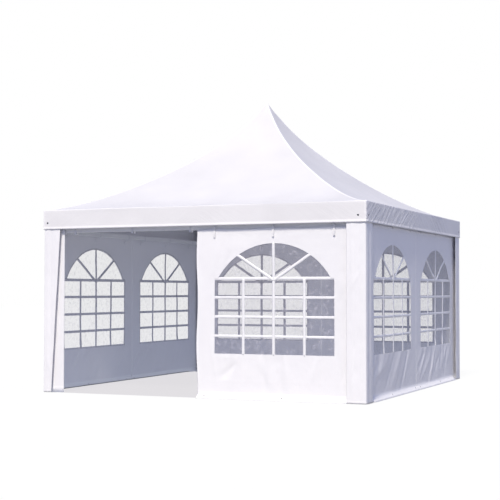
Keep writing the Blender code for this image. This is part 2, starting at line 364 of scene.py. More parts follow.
# %% Finish a piece
def add_mesh(name, bm, material):
    mesh = bpy.data.meshes.new(name)
    bm.to_mesh(mesh)
    bm.free()
    mesh.materials.append(material)
    mesh.shade_smooth()
    return add_object(name, mesh)


def add_piece(name, bm, material, degrees=0.0):
    bmesh.ops.rotate(bm, verts=bm.verts, matrix=Matrix.Rotation(radians(degrees), 3, "Z"))
    piece = add_mesh(name, bm, material)
    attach(piece, "root")
    return piece


def thicken(piece, thickness, offset=-1.0):
    solid = piece.modifiers.new("thickness", "SOLIDIFY")
    solid.thickness = thickness
    solid.offset = offset


def vert_places(bm):
    """The x, y and z of all the vertices, as three arrays."""
    return np.array([tuple(vert.co) for vert in bm.verts]).T


def write_flat_size(bm, to_flat=lambda co, face: (abs(co.x), co.z)):
    """Writes the flat sheet's own coordinates into its UV map, and returns the area of the cut sheet."""
    uv = bm.loops.layers.uv.new("cloth")
    for face in bm.faces:
        for loop in face.loops:
            loop[uv].uv = to_flat(loop.vert.co, face)
    return sum(face.calc_area() for face in bm.faces)


def face_outward(bm, outward):
    """Turns an open sheet's faces to one side."""
    bmesh.ops.recalc_face_normals(bm, faces=bm.faces)
    total = sum((face.normal * face.calc_area() for face in bm.faces), Vector())
    if total.dot(Vector(outward)) < 0:
        bmesh.ops.reverse_faces(bm, faces=bm.faces)


def swept_parts(swept):
    """The new edges and vertices of an extruded edge loop."""
    verts = [part for part in swept["geom"] if isinstance(part, bmesh.types.BMVert)]
    moved = set(verts)
    edges = [part for part in swept["geom"] if isinstance(part, bmesh.types.BMEdge)]
    return [edge for edge in edges if moved.issuperset(edge.verts)], verts


# %% [markdown]
# ## The folds of a hung sheet
# A hung panel shows four things: a slow belly, soft slanting folds that run down from its straps and up from
# its pegged foot, small crumples, and the straight creases left by folding it away. Each fold is a line with
# a depth and a width. A seeded list of them makes every panel different and the same on each run.

# %% Fold lines
def fold_lines(seed, low, high, count, depth, width, lean=0.0):
    """Slanted folds in the lower part and below the straps, as (x0, z0, x1, z1, depth, width)."""
    draw = random.Random(seed)
    lines = []
    for k in range(count):
        x = draw.uniform(low, high)
        if k % 3 == 0:
            z0, z1 = draw.uniform(1.3, 1.8), draw.uniform(0.9, 1.2)
            run = draw.uniform(-0.25, 0.25)
        else:
            z0, z1 = draw.uniform(0.4, 0.85), draw.uniform(-0.1, 0.25)
            run = lean + draw.uniform(-0.25, 0.25)
        sign = draw.choice((-1, 1))
        deep, wide = sign * depth * draw.uniform(0.4, 1.0), width * draw.uniform(0.5, 1.4)
        lines.append((x, z0, x + run, z1, deep, wide))
    return lines


def fold_depth(x, z, lines):
    total = np.zeros_like(x)
    for x0, z0, x1, z1, depth, width in lines:
        run, rise = x1 - x0, z1 - z0
        length = hypot(run, rise)
        along = ((x - x0) * run + (z - z0) * rise) / length**2
        off = ((x - x0) * rise - (z - z0) * run) / length
        fade = np.clip(1 - (2 * along - 1) ** 2, 0, 1) ** 0.7
        total += depth * fade * np.exp(-((off / width) ** 2))
    return total


def crease_depth(x, z, pitch_x, pitch_z, depth, width):
    """Straight creases on a grid, from folding the sheet away."""
    off_x = np.abs((x / pitch_x + 0.5) % 1 - 0.5) * pitch_x
    off_z = np.abs((z / pitch_z + 0.5) % 1 - 0.5) * pitch_z
    return depth * (np.exp(-off_x / width) + np.exp(-off_z / width))


def crumple_depth(x, z, seed, scale, depth):
    spots = zip(x * scale, z * scale)
    return depth * np.array([noise.fractal((a, b, seed * 3.7), 0.9, 2.0, 4) for a, b in spots])


# %% All the folds of a panel together
FOLD_COUNT, FOLD_DEPTH, FOLD_WIDTH = 30, 0.008, 0.035
FOLD_LEAN = {"front": 0.0, "right": -0.45, "back": 0.2, "left": 0.35}
BELLY, CRUMPLE = 0.007, 0.004
PACKED = (0.49, 0.46)  # width and height of a panel that is folded away
CREASE_DEPTH, CREASE_WIDTH = 0.0014, 0.006
FOOT_CALM, TOP_CALM = 0.12, 0.1  # heights over which the held foot and hem calm the folds


def drape(x, z, seed, side, low, high):
    """How far a panel's cloth stands out of its plane at each flat point."""
    across = np.sin(pi * np.clip((x - low) / (high - low), 0, 1))
    held = across**0.4 * np.clip(z / FOOT_CALM, 0, 1)
    held = held * np.clip((WALL_TOP + TOP_CALM / 2 - z) / TOP_CALM, 0, 1)
    belly = BELLY * across * np.sin(pi * np.clip(z / WALL_TOP, 0, 1)) * (-1) ** seed
    lines = fold_lines(seed, low, high, FOLD_COUNT, FOLD_DEPTH, FOLD_WIDTH, FOLD_LEAN[side])
    crumple = crumple_depth(x, z, seed, 2.6, CRUMPLE)
    creases = crease_depth(x - low, z - 0.2, *PACKED, CREASE_DEPTH, CREASE_WIDTH)
    return (belly + fold_depth(x, z, lines) + crumple + creases) * held


# %% [markdown]
# ## The window's shape
# Each window is a rectangle with a shallow arch standing on it. One function gives its outline, larger or
# smaller all round, so that the opening, the welded border and the film agree.

# %% Window outline
WINDOW_CENTRE = 0.92
WINDOW_HALF = 0.7035
WINDOW_SILL = 0.495
WINDOW_SPRING = 1.32
ARCH_HALF = 0.665
ARCH_TOP = 1.702
ARCH_RISE = ARCH_TOP - WINDOW_SPRING
ARCH_RADIUS = (ARCH_HALF**2 + ARCH_RISE**2) / (2 * ARCH_RISE)
ARCH_CENTRE_Z = ARCH_TOP - ARCH_RADIUS
MIDDLE_Z = 0.95
OUTLINE_STEPS = (90, 54, 3, 104, 3, 54)  # sill, right side, right shoulder, arch, left shoulder, left side
ARCH = 3  # the arch's place in that list


def window_outline(grow):
    """Points round the window from its lower left corner, with x from the window's own middle."""
    half, sill, spring = WINDOW_HALF + grow, WINDOW_SILL - grow, WINDOW_SPRING + grow
    radius = ARCH_RADIUS + grow
    widest = acos((spring - ARCH_CENTRE_Z) / radius)
    foot = radius * sin(widest)
    corners = [(-half, sill), (half, sill), (half, spring), (foot, spring)]
    corners += [(-foot, spring), (-half, spring), (-half, sill)]
    points = []
    for k, steps in enumerate(OUTLINE_STEPS):
        for t in np.arange(steps) / steps:
            if k == ARCH:
                angle = widest * (1 - 2 * t)
                points.append((radius * sin(angle), ARCH_CENTRE_Z + radius * cos(angle)))
            else:
                (x0, z0), (x1, z1) = corners[k], corners[k + 1]
                points.append((x0 + (x1 - x0) * t, z0 + (z1 - z0) * t))
    return points


print("points round a window:", len(window_outline(0)), "arch radius:", round(ARCH_RADIUS, 3))

# %% [markdown]
# ## Wall panels
# A panel's cloth is modelled from its window outward. Loops with the same number of points are bridged: the
# opening, the edge of the welded border, and the panel's own edge, found by sending a ray from the window's
# middle through each point. Close pairs of loops keep the border's edges crisp under smooth shading. The wide
# band is then subdivided, so the faces run round the window as the cloth's tension does. The opening's edge
# is extruded inward into a thick welt, and the foot into the ground flap. At the doorway, the left wall is
# turned round the post.

# %% Loops of a panel
BORDER = 0.045
BORDER_STEP = 0.003
BORDER_RISE = 0.0035  # how far the border stands out of the cloth
EDGE_ROLL = 0.002  # width over which an edge of the border rolls
JAMB = 0.008  # depth of the welt round the opening
BAND_CUTS = 21


def edge_points(outline, low, high):
    """Where rays through the outline's points meet the panel's straight edges, with its corners kept."""
    points = []
    for x, z in outline:
        dx, dz = x, z - MIDDLE_Z
        reach_x = (high if dx > 0 else low) / dx if abs(dx) > 1e-6 else 1e6
        reach_z = ((WALL_TOP if dz > 0 else FLAP_Z) - MIDDLE_Z) / dz if abs(dz) > 1e-6 else 1e6
        reach = min(reach_x, reach_z)
        points.append((dx * reach, MIDDLE_Z + dz * reach))
    for corner in ((low, FLAP_Z), (high, FLAP_Z), (high, WALL_TOP), (low, WALL_TOP)):
        gaps = [hypot(x - corner[0], z - corner[1]) for x, z in points]
        points[gaps.index(min(gaps))] = corner
    return points


def add_loop(bm, points, centre):
    """A closed loop of edges through points of the wall's plane."""
    loop = bmesh.ops.create_circle(bm, segments=len(points), radius=1)["verts"]
    for vert, (x, z) in zip(loop, points):
        vert.co = (centre + x, 0, z)
    return list({edge for vert in loop for edge in vert.link_edges})


def flat_panel(low, high, centre):
    bm = bmesh.new()
    border = window_outline(BORDER)
    grows = (0, EDGE_ROLL, BORDER - EDGE_ROLL, BORDER, BORDER + BORDER_STEP, BORDER + BORDER_STEP + EDGE_ROLL)
    loops = [add_loop(bm, window_outline(grow), centre) for grow in grows]
    loops.append(add_loop(bm, edge_points(border, low - centre, high - centre), centre))
    raised = {vert for loop in loops[:4] for edge in loop for vert in edge.verts}
    for inner, outer in zip(loops[:5], loops[1:6]):
        bmesh.ops.bridge_loops(bm, edges=inner + outer)
    narrow = set(bm.edges)
    bmesh.ops.bridge_loops(bm, edges=loops[5] + loops[6])
    spokes = [edge for edge in bm.edges if edge not in narrow]
    bmesh.ops.subdivide_edges(bm, edges=spokes, cuts=BAND_CUTS)
    return bm, raised


# %% The cloth of one panel
FLAP_STEPS = ((0.014, -0.016), (0.02, -0.018), (0.022, -0.0175))  # out and down
FLAP_HELD = 0.75  # how much of its flare is lost under a post cover
COVER_FADE = 0.06  # how far beside a post cover the flap is already held
EDGE_WAVE, EDGE_WAVES, EDGE_REACH = 0.009, 6.3, 0.07  # depth, closeness and reach of a free edge's waves
STRAP_PLACES = (0.216, 0.92, 1.624)  # from the side's middle
STRAP_SPACING = STRAP_PLACES[1] - STRAP_PLACES[0]
PANEL_START = 0.001  # from the side's middle
FADE_FOOT = 1.76  # cloth above this moves with the hem
TOP_DROP, TOP_SAG = 0.012, 0.011
TOP_LIFT = 0.025  # the other walls are strapped tight, so their hems are behind the valance
RETURN_EDGE = 1.735  # the left wall is turned round the front post up to this distance from the middle
RETURN_STEPS = 8
RETURN_FOOT = 0.004  # height of its foot


def panel_ends(side, hand):
    corner = WALL_PLANE if side in ("left", "right") else WALL_PLANE - SOLID_CLOTH
    return sorted((hand * PANEL_START, hand * corner))


def sweep_edges(bm, edges, step):
    edges, verts = swept_parts(bmesh.ops.extrude_edge_only(bm, edges=edges))
    bmesh.ops.translate(bm, verts=verts, vec=step)
    return edges


def flare_foot(bm, edges, out, down):
    """One step of the ground flap, which flares less where a post cover lies over it."""
    edges, verts = swept_parts(bmesh.ops.extrude_edge_only(bm, edges=edges))
    for vert in verts:
        held = min(1, max(0, (abs(vert.co.x) - COVER_LOW.x + COVER_FADE) / COVER_FADE))
        vert.co += Vector((0, -out * (1 - FLAP_HELD * held), down))
    return edges


def top_fade(z):
    """From 0 over the window to 1 at the hem."""
    return np.clip((z - FADE_FOOT) / (WALL_TOP - FADE_FOOT), 0, 1)


def top_sag(x, z):
    """How far the front panel's hem has slipped down: less at the straps, and more between two of them."""
    nearest = np.min([np.abs(np.abs(x) - place) for place in STRAP_PLACES], axis=0)
    between = np.sin(pi * np.clip(nearest / STRAP_SPACING, 0, 0.5))
    return (TOP_DROP + TOP_SAG * between) * top_fade(z)


def hang_cloth(bm, seed, side, low, high, raised, free_edge=None):
    """Pushes the flat cloth out by its folds, and waves its free edge where it has one."""
    x, _, z = vert_places(bm)
    out = drape(x, z, seed, side, low, high) + np.array([v in raised for v in bm.verts]) * BORDER_RISE
    slide = np.zeros_like(x)
    if free_edge is not None:
        fade = np.exp(-np.abs(x - free_edge) / EDGE_REACH) * np.clip((WALL_TOP - z) / 0.2, 0, 1)
        slide = EDGE_WAVE * np.sin(z * EDGE_WAVES + seed) * fade
    sag = top_sag(x, z) if side == "front" else -TOP_LIFT * top_fade(z)
    for vert, push, aside, down in zip(bm.verts, out, slide, sag):
        vert.co = (vert.co.x + aside, -WALL_PLANE - push, vert.co.z - down)


def on_return_foot(co, high):
    return co.z < FLAP_Z + 1e-4 and abs(co.x - high) < 1e-3 and co.y > -WALL_PLANE - 1e-4


def panel_cloth(name, side, hand, seed):
    low, high = panel_ends(side, hand)
    bm, raised = flat_panel(low, high, hand * WINDOW_CENTRE)
    face_outward(bm, (0, -1, 0))
    cut_area = write_flat_size(bm)
    rim = [edge for edge in bm.edges if edge.is_boundary]
    foot = [edge for edge in rim if all(v.co.z < FLAP_Z + 1e-4 for v in edge.verts)]
    end = [edge for edge in rim if all(abs(v.co.x - high) < 1e-4 for v in edge.verts)]
    opening = [edge for edge in rim if raised.issuperset(edge.verts)]
    hang_cloth(bm, seed, side, low, high, raised, PANEL_START if side == "front" else None)
    sweep_edges(bm, opening, (0, JAMB, 0))
    for out, down in FLAP_STEPS:
        foot = flare_foot(bm, foot, out, down)
    if name == "left_front":
        for _ in range(RETURN_STEPS):
            end = sweep_edges(bm, end, (0, (WALL_PLANE - RETURN_EDGE) / RETURN_STEPS, 0))
        rim = [edge for edge in bm.edges if edge.is_boundary]
        turned = [edge for edge in rim if all(on_return_foot(v.co, high) for v in edge.verts)]
        sweep_edges(bm, turned, (0, 0, RETURN_FOOT - FLAP_Z))
    piece = add_piece(name + "_wall", bm, wall_cloth, SIDES[side])
    thicken(piece, CLOTH)
    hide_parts(name + "_panel")
    return piece, cut_area


# %% Hang the seven panels
walls, cut_areas = {}, {}
for seed, (name, (side, hand)) in enumerate(PANELS.items(), 1):
    walls[name], cut_areas[name] = panel_cloth(name, side, hand, seed)
print("wall faces:", [len(piece.data.polygons) for piece in walls.values()])

# %% [markdown]
# ## Films and bars
# A window's film is a fine grid pulled in to the window's outline, so its ripples are even. The white bars
# are padded strips welded to it. They follow the same folds, a hair in front of the film. The upright ones
# are crowned more, so on a shaded wall they still catch the light along one edge, as the real ones do.

# %% The film of one window
FILM = 0.0005
FILM_CELL = 0.0135
FILM_LAP = 0.02
FILM_BEHIND = 0.0055  # behind the wall's plane
RIPPLE, RIPPLE_CALM = 0.0022, 0.08  # depth, and how far in from the window's edge it is reached


def sink_into_wall(bm, seed, side, low, high, behind):
    """Carries a flat piece out of its plane by the wall's folds and the film's ripples."""
    x, _, z = vert_places(bm)
    centre = WINDOW_CENTRE if low + high > 0 else -WINDOW_CENTRE
    edge = np.minimum(WINDOW_HALF - np.abs(x - centre), z - WINDOW_SILL)
    edge = np.minimum(edge, ARCH_RADIUS - np.hypot(x - centre, z - ARCH_CENTRE_Z))
    ripple = crumple_depth(x * 2.1, z, seed + 11, 3.4, RIPPLE) * np.clip(edge / RIPPLE_CALM, 0, 1)
    out = drape(x, z, seed, side, low, high) + ripple
    for vert, push in zip(bm.verts, out):
        vert.co.y += behind - WALL_PLANE - push


def film_sheet(name, side, hand, seed):
    low, high = panel_ends(side, hand)
    outline = window_outline(FILM_LAP)
    bearings = [atan2(z - MIDDLE_Z, x) for x, z in outline]
    reaches = [hypot(x, z - MIDDLE_Z) for x, z in outline]
    wide, tall = WINDOW_HALF + FILM_LAP, ARCH_TOP - WINDOW_SILL + 2 * FILM_LAP
    bm = bmesh.new()
    cells = {"x_segments": round(2 * wide / FILM_CELL), "y_segments": round(tall / FILM_CELL)}
    bmesh.ops.create_grid(bm, size=1, **cells)
    across, up, _ = vert_places(bm)
    x = across * wide
    z = WINDOW_SILL - FILM_LAP + tall * (up + 1) / 2
    distance = np.hypot(x, z - MIDDLE_Z)
    reach = np.interp(np.arctan2(z - MIDDLE_Z, x), bearings, reaches, period=2 * pi)
    pull = np.minimum(1, reach / np.maximum(distance, 1e-6))
    for vert, a, b, p in zip(bm.verts, x, z, pull):
        vert.co = (hand * WINDOW_CENTRE + a * p, 0, MIDDLE_Z + (b - MIDDLE_Z) * p)
    outside = [vert for vert, far in zip(bm.verts, distance > reach + FILM_CELL) if far]
    bmesh.ops.delete(bm, geom=outside, context="VERTS")
    face_outward(bm, (0, -1, 0))
    cut_area = write_flat_size(bm)
    sink_into_wall(bm, seed, side, low, high, FILM_BEHIND)
    piece = add_piece(name + "_clear_film", bm, film, SIDES[side])
    thicken(piece, FILM)
    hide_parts(name + "_film")
    return piece, cut_area


# %% The bars of one window
UPRIGHT_BARS = (-0.359, 0.0, 0.359)
LEVEL_BARS = (0.6895, 0.901, 1.112)
UPRIGHT_WIDTH, LEVEL_WIDTH, SPRING_WIDTH = 0.036, 0.03, 0.034
SPOKE_RISE = radians(33)
SPOKE_LENGTH = 0.51
SPOKE_ROOT = WINDOW_SPRING - 0.02
BAR = 0.0009
BAR_LAP = 0.01
BAR_OVER = 0.0004  # how far one bar lies over another that it crosses
BAR_CELL = 0.016
BAR_BEHIND = 0.0046  # behind the wall's plane
UPRIGHT_CROWN, LEVEL_CROWN = 0.0065, 0.002
OUTWARD = Matrix.Rotation(pi / 2, 4, "X")  # turns a shape's own Z to the front


def add_strip(bm, start, end, width, lift, crown=UPRIGHT_CROWN):
    """A crowned strip between two points of the wall's plane, in cells short enough to follow the folds."""
    start, end = Vector((start[0], -lift, start[1])), Vector((end[0], -lift, end[1]))
    run = end - start
    cells = {"x_segments": max(2, round(run.length / BAR_CELL)), "y_segments": 4}
    strip = bmesh.ops.create_grid(bm, size=1, **cells)["verts"]
    for vert in strip:
        vert.co.z = crown * (1 - vert.co.y**2)
    place = Matrix.Translation((start + end) / 2) @ Matrix.Rotation(-atan2(run.z, run.x), 4, "Y")
    place = place @ OUTWARD @ Matrix.Diagonal((run.length / 2, width / 2, 1, 1))
    bmesh.ops.transform(bm, verts=strip, matrix=place)


def window_bars(name, side, hand, seed):
    low, high = panel_ends(side, hand)
    middle = hand * WINDOW_CENTRE
    left, right = middle - WINDOW_HALF - BAR_LAP, middle + WINDOW_HALF + BAR_LAP
    bm = bmesh.new()
    for x in UPRIGHT_BARS:
        top = ARCH_TOP + BAR_LAP if x == 0 else WINDOW_SPRING
        add_strip(bm, (middle + x, WINDOW_SILL - BAR_LAP), (middle + x, top), UPRIGHT_WIDTH, 0.0)
    for z in LEVEL_BARS:
        add_strip(bm, (left, z), (right, z), LEVEL_WIDTH, BAR_OVER, LEVEL_CROWN)
    add_strip(bm, (left, WINDOW_SPRING), (right, WINDOW_SPRING), SPRING_WIDTH, 2 * BAR_OVER, LEVEL_CROWN)
    for turn in (SPOKE_RISE, pi - SPOKE_RISE):
        tip = (middle + SPOKE_LENGTH * cos(turn), SPOKE_ROOT + SPOKE_LENGTH * sin(turn))
        add_strip(bm, (middle, SPOKE_ROOT), tip, UPRIGHT_WIDTH, BAR_OVER)
    face_outward(bm, (0, -1, 0))
    write_flat_size(bm, lambda co, face: (co.x, co.z))
    sink_into_wall(bm, seed, side, low, high, BAR_BEHIND)
    piece = add_piece(name + "_window_bars", bm, bar_cloth, SIDES[side])
    thicken(piece, BAR)
    return piece


# %% Glaze the seven windows
films, film_areas, bars = {}, {}, {}
for seed, (name, (side, hand)) in enumerate(PANELS.items(), 1):
    films[name], film_areas[name] = film_sheet(name, side, hand, seed)
    bars[name] = window_bars(name, side, hand, seed)
print("film faces:", [len(piece.data.polygons) for piece in films.values()])
print("bar faces:", [len(piece.data.polygons) for piece in bars.values()])

# %% [markdown]
# ## The roof cover
# The real cover is four cut slopes and a valance, sewn into one sheet that the mast stretches. So one quarter
# is modelled as a grid whose lower rows are the valance, turned three times, and welded along the hips. The
# slope's height is a curve that leaves the eaves flat and climbs steeply to the peak, and each slope dips a
# little between its hips, as stretched cloth does.

# %% Height of the roof
EAVE_POWER, PEAK_POWER, PEAK_PART = 1.44, 7.4, 0.165
TIP_SHARE = 0.006
ROOF_DIP = 0.03
PEAK_SHARE = 0.05


def rise_of(share):
    up = 1 - hypot(share, TIP_SHARE * (1 - share))
    return (1 - PEAK_PART) * up**EAVE_POWER + PEAK_PART * up**PEAK_POWER


def roof_height(share):
    return EAVE_Z + (PEAK_Z - EAVE_Z) * rise_of(share) / rise_of(0)


def roof_dip(share, across):
    climbed = min(1, (1 - share) / (1 - PEAK_SHARE))
    return ROOF_DIP * 4 * climbed * (1 - climbed) * (1 - across**2)


# %% One quarter of the cover
HEM_ROWS = (0.0, 0.011, 0.0215, 0.0235)
VALANCE_ROWS, SLOPE_ROWS, ACROSS = 14, 84, 76
ROW_CROWDING = 1.3  # over 1, the rows are closer near the tip
TIP_ROUND = 0.06  # share of the plan under which the square tip turns round
ROUNDER = 1.12  # radius of the round tip, in half sides of the square


def row_places():
    """For each row from the valance's foot to the tip: its share of the plan and its height."""
    rest = np.linspace(0.04, DROP, VALANCE_ROWS + 1 - len(HEM_ROWS))
    rows = [(1.0, VALANCE_FOOT + up) for up in (*HEM_ROWS, *rest)]
    for k in range(1, SLOPE_ROWS + 1):
        share = (1 - k / SLOPE_ROWS) ** ROW_CROWDING
        rows.append((share, roof_height(share)))
    return rows


def cover_quarter(bm):
    rows = row_places()
    grid = bmesh.ops.create_grid(bm, x_segments=ACROSS, y_segments=len(rows) - 1, size=1)["verts"]
    for vert in grid:
        across = vert.co.x
        share, height = rows[round((vert.co.y + 1) / 2 * (len(rows) - 1))]
        side = share * HALF
        square = Vector((across * side, -side))
        circle = Vector((sin(across * pi / 4), -cos(across * pi / 4))) * side * ROUNDER
        flat = square.lerp(circle, max(0.0, 1 - share / TIP_ROUND))
        vert.co = (flat.x, flat.y, height - roof_dip(share, across))


def whole_cover():
    bm = bmesh.new()
    cover_quarter(bm)
    first = bm.verts[:] + bm.edges[:] + bm.faces[:]
    for turn in (90, 180, 270):
        copied = bmesh.ops.duplicate(bm, geom=first)["geom"]
        verts = [part for part in copied if isinstance(part, bmesh.types.BMVert)]
        bmesh.ops.rotate(bm, verts=verts, matrix=Matrix.Rotation(radians(turn), 3, "Z"))
    bmesh.ops.remove_doubles(bm, verts=bm.verts, dist=1e-5)
    return bm


# %% Rounded hips and eaves
TURN_ROUND = 0.008
HIP_START = 0.14


def round_turns(bm):
    """Rounds the hips, the valance's corners and the eaves, where the cloth turns over the frame."""
    turns = []
    for edge in bm.edges:
        ends = [v.co for v in edge.verts]
        on_hip = all(abs(abs(c.x) - abs(c.y)) < 1e-4 and abs(c.x) > HIP_START for c in ends)
        on_eave = all(abs(c.z - EAVE_Z) < 1e-4 for c in ends)
        if on_hip or on_eave:
            turns.append(edge)
    settings = {"offset": TURN_ROUND, "segments": 3, "profile": 0.5, "affect": "EDGES", "material": -1}
    bmesh.ops.bevel(bm, geom=turns, clamp_overlap=True, **settings)


def flat_cover(co, face):
    """A point of the cut cover: how far from the nearest hip, and how far up from the valance's foot."""
    middle = face.calc_center_median()
    out, along = (abs(co.x), co.y) if abs(middle.x) > abs(middle.y) else (abs(co.y), co.x)
    if middle.z > EAVE_Z - TURN_ROUND / 2:
        return out - abs(along), DROP + hypot(HALF - out, co.z - EAVE_Z)
    return out - abs(along), co.z - VALANCE_FOOT


# %% Wrinkles of the cover
SOFT, FINE, HATCH = 0.003, 0.0008, 0.0011  # depths of the unevenness and of the valance's hatches
HATCH_CLOSENESS = 78
HEM_RISE = 0.0012
PULLS = 16


def eave_pulls(seed):
    """Long shallow folds that run along the slope above the eave, pulled from the corners."""
    draw = random.Random(seed)
    lines = []
    for _ in range(PULLS):
        x = draw.uniform(-1.7, 0.9)
        up = draw.uniform(0.0, 0.3)
        depth = draw.choice((-1, 1)) * draw.uniform(0.0015, 0.0035)
        run, rise = draw.uniform(0.5, 1.3), draw.uniform(-0.06, 0.12)
        lines.append((x, up, x + run, up + rise, depth, draw.uniform(0.012, 0.03)))
    return lines


def cover_wrinkles(x, y, z):
    """How far the cover stands out: unevenness, pulls above the eaves, slanting hatches on the valance."""
    turned = np.abs(x) > np.abs(y)
    out = np.where(turned, np.abs(x), np.abs(y))
    along = np.where(turned, y, x)
    run = np.hypot(HALF - out, z - EAVE_Z)
    on_valance = z < EAVE_Z - 0.004
    points = list(zip(x, y, z))
    soft = np.array([noise.fractal((a * 1.2, b * 1.2, c * 1.2), 0.9, 2.0, 3) for a, b, c in points])
    fine = np.array([noise.fractal((a * 5, b * 5, c * 5 + 9), 0.8, 2.0, 3) for a, b, c in points])
    pulls, hatch = np.zeros_like(x), np.zeros_like(x)
    quarters = (~turned & (y < 0), turned & (x < 0), ~turned & (y > 0), turned & (x > 0))
    for k, face in enumerate(quarters):
        flat = along + 0.7 * k
        pulls += face * fold_depth(along, run, eave_pulls(k + 70))
        slant = (flat * 0.75 + z * 1.3) * HATCH_CLOSENESS + 2.5 * np.sin(flat * 3.1)
        hatch += face * np.sin(slant) * np.clip(np.sin(flat * 2.1 + 0.6 * k) * 1.6, 0, 1)
    fade = np.clip((out - np.abs(along)) / 0.15, 0, 1)
    drop = np.clip((z - VALANCE_FOOT) / 0.06, 0, 1) * np.clip((EAVE_Z - z) / 0.05, 0, 1)
    return SOFT * soft + FINE * fine + fade * np.where(on_valance, HATCH * hatch * drop, pulls)


# %% The whole cover
def roof_cover():
    bm = whole_cover()
    round_turns(bm)
    face_outward(bm, (0, 0, 1))
    cut_area = write_flat_size(bm, flat_cover)
    bm.normal_update()
    for vert, push in zip(bm.verts, cover_wrinkles(*vert_places(bm))):
        hem = HEM_RISE if vert.co.z < VALANCE_FOOT + HEM_ROWS[2] + 1e-4 else 0.0
        vert.co += vert.normal * (push + hem)
    piece = add_piece("roof_cover", bm, roof_cloth)
    thicken(piece, CLOTH)
    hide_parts("roof_peak", "valance", *[side + "_roof_slope" for side in SIDES])
    return piece, cut_area


cover, cover_area = roof_cover()
print("roof cover faces:", len(cover.data.polygons), "area:", round(cover_area, 2))

# %% [markdown]
# ## Post covers
# At each corner an L-shaped sleeve of the same cloth hides the post. It hangs loose, so it shows a few long
# upright folds, and the front left one narrows to its foot.

# %% A sleeve round the corner
SLEEVE_TURN = 0.014
SLEEVE_INSET = 0.002
SLEEVE_TAPERED = 0.107
SLEEVE_TOP = VALANCE_FOOT + 0.14
SLEEVE_FOLDS = ((-0.16, 0.0035), (-0.08, -0.003), (0.05, 0.004), (0.1, -0.0045), (0.165, 0.004))
SLEEVE_FOLD_WIDTH = 0.016
SLEEVE_FOLD_ENDS = (2.3, -0.2)  # above and below the sleeve, so that no fold ends on it
PUSHED_IN, PUSHED_OUT = -0.006, 0.004  # the furthest that a fold may go


def round_corner(run, outer):
    """Where a point of the flat sleeve goes, and which way is out. A negative run is on the first leg."""
    if abs(run) < SLEEVE_TURN:
        angle = pi / 4 * (1 + run / SLEEVE_TURN)
        out = Vector((sin(angle), -cos(angle), 0))
        return Vector((outer - SLEEVE_TURN, SLEEVE_TURN - outer, 0)) + out * SLEEVE_TURN, out
    if run < 0:
        return Vector((outer + run, -outer, 0)), Vector((0, -1, 0))
    return Vector((outer, run - outer, 0)), Vector((1, 0, 0))


def post_sleeve(name, degrees, seed):
    outer = COVER_HIGH.x - SLEEVE_INSET
    leg, low = COVER_HIGH.x - COVER_LOW.x, COVER_LOW.z
    bm = bmesh.new()
    bmesh.ops.create_grid(bm, x_segments=48, y_segments=110, size=1)
    for vert in bm.verts:
        height = low + (SLEEVE_TOP - low) * (vert.co.y + 1) / 2
        reach = leg
        if name == "front_left" and vert.co.x > 0:
            reach = min(leg, SLEEVE_TAPERED + (leg - SLEEVE_TAPERED) * (height - low) / (VALANCE_FOOT - low))
        vert.co = (vert.co.x * reach, 0, height)
    cut_area = write_flat_size(bm, lambda co, face: (abs(co.x), co.z - low))
    run, _, height = vert_places(bm)
    top, foot = SLEEVE_FOLD_ENDS
    lines = [(x, top, x * 0.92, foot, depth, SLEEVE_FOLD_WIDTH) for x, depth in SLEEVE_FOLDS]
    push = fold_depth(run, height, lines + fold_lines(seed + 40, -leg, leg, 8, 0.003, 0.02))
    push += crumple_depth(run * 2, height, seed + 9, 4.0, 0.0022)
    push = np.clip(push, PUSHED_IN, PUSHED_OUT) * np.clip((np.abs(run) - 0.01) / 0.04, 0, 1)
    for vert, r, h, p in zip(bm.verts, run, height, push):
        place, out = round_corner(r, outer)
        vert.co = place + out * p + Vector((0, 0, h))
    face_outward(bm, (1, -1, 0))
    piece = add_piece(name + "_sleeve", bm, sleeve_cloth, degrees)
    thicken(piece, CLOTH)
    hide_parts(name + "_post_cover")
    return piece, cut_area


sleeves, sleeve_areas = {}, {}
for seed, (name, degrees) in enumerate(CORNERS.items(), 1):
    sleeves[name], sleeve_areas[name] = post_sleeve(name, degrees, seed)
print("sleeves:", [len(piece.data.polygons) for piece in sleeves.values()])

# %% [markdown]
# ## Straps
# Three straps hang each panel from its rail. Each is a loop of webbing over the rail, and a press stud
# through the panel's hem joins its two ends. On the front the hem has slipped and the straps show under the
# valance. On the other sides they are pulled short, and the hem is behind the valance. Four short ties are
# left on the rail over the doorway. A strap is a ribbon: its course is a chain of points, extruded by the
# strap's width and given a thickness.

# %% Straps
STRAP, STRAP_WIDTH = 0.0022, 0.022
STRAP_END_Z, STRAP_INNER_Z, STRAP_TURN_Z = 1.774, 1.8, 1.825
STRAP_BEND_Z, STRAP_FLAT_Z = 1.82, 1.866  # a loose end bends off the hem between these
STRAP_SLACK = 0.005  # how far a strap's loose end stands off the hem
STRAP_GAP = 0.005  # from the hem's middle to the strap's
STRAP_OUT, STRAP_IN = -WALL_PLANE - STRAP_GAP, -WALL_PLANE + STRAP_GAP
RAIL_GAP = 0.0018  # from the rail to the middle of the webbing
RAIL_OUT, RAIL_IN, RAIL_OVER = RAIL_LOW.y - RAIL_GAP, RAIL_HIGH.y + RAIL_GAP, RAIL_HIGH.z + RAIL_GAP
STRAP_EDGE = 0.0005
DOORWAY_TIES = (-1.77, -1.6, -0.84, -0.1)
TIE_TAIL, TIE_SPREAD = 0.022, 0.012


